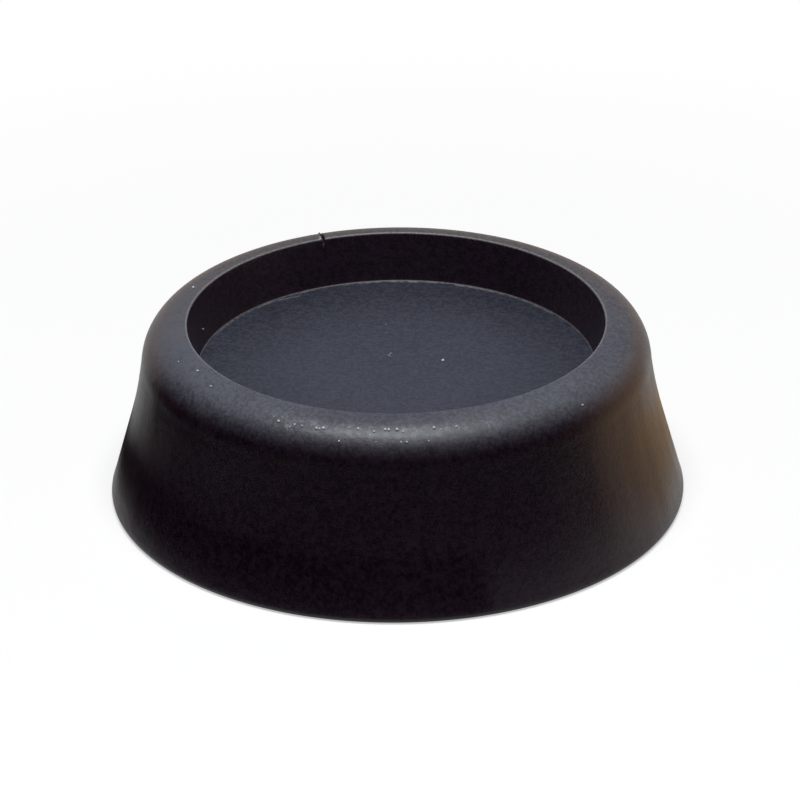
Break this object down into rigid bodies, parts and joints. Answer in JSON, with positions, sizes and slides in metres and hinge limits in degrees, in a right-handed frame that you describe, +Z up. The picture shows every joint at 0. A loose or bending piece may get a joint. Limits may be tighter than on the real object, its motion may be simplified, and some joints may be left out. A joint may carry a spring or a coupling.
{
  "type": "anti-vibration pad",
  "caption": "Round flared rubber pad with a rounded rim and a shallow recess that an appliance's foot stands in, and ring grooves under it.",
  "frame": {"origin": "middle of the underside, on the floor that the pad stands on", "axes": "+Z up along the pad's axis, out of the recess; +X and +Y are level, and the nick in the lip is 111 degrees round from +X towards +Y"},
  "size_m": [0.0624, 0.0624, 0.02],
  "materials": {
    "rubber": "matt moulded rubber, with a little sheen where the mould was smooth"
  },
  "bodies": {
    "root": {"pad": "rubber"}
  },
  "joints": []
}
